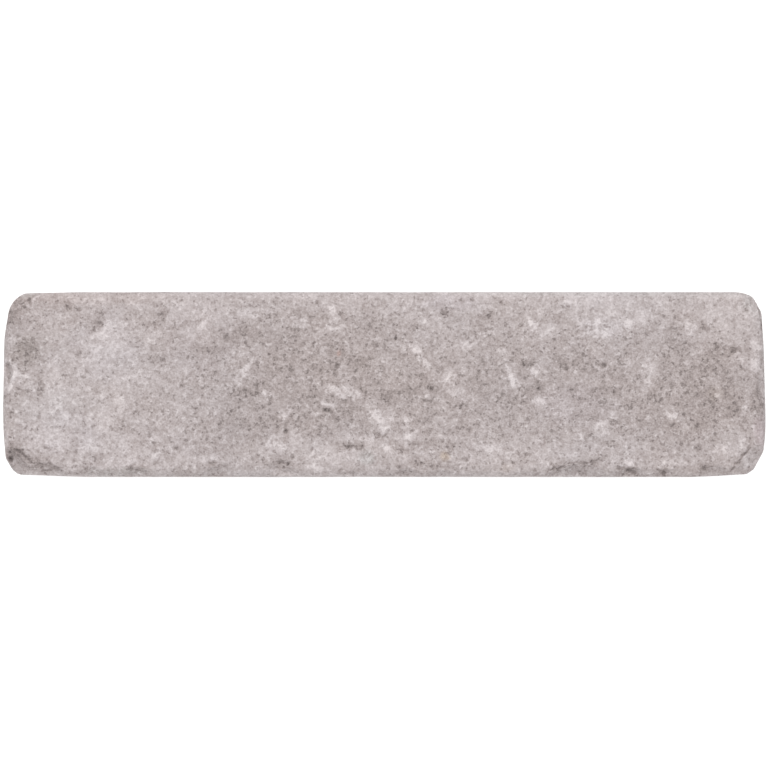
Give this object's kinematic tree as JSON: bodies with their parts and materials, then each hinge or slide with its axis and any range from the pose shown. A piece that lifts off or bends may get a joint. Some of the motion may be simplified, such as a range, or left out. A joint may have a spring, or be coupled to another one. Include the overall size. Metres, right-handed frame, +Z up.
{
  "type": "tumbled concrete paver",
  "caption": "Long narrow concrete paving block, tumbled so its edges and corners are rounded and chipped, laid wear face up in paths, drives and patios.",
  "frame": {"origin": "middle of the footprint, at the bed face it stands on", "axes": "+Z up, out of the wear face; X along the length; Y across the width, between the two long side faces"},
  "size_m": [0.2, 0.0488, 0.07],
  "materials": {
    "concrete": "dry tumbled concrete, pale warm grey with a slight mauve cast, sandy fine grain, matt"
  },
  "bodies": {
    "root": {"paver": "concrete"}
  },
  "joints": []
}
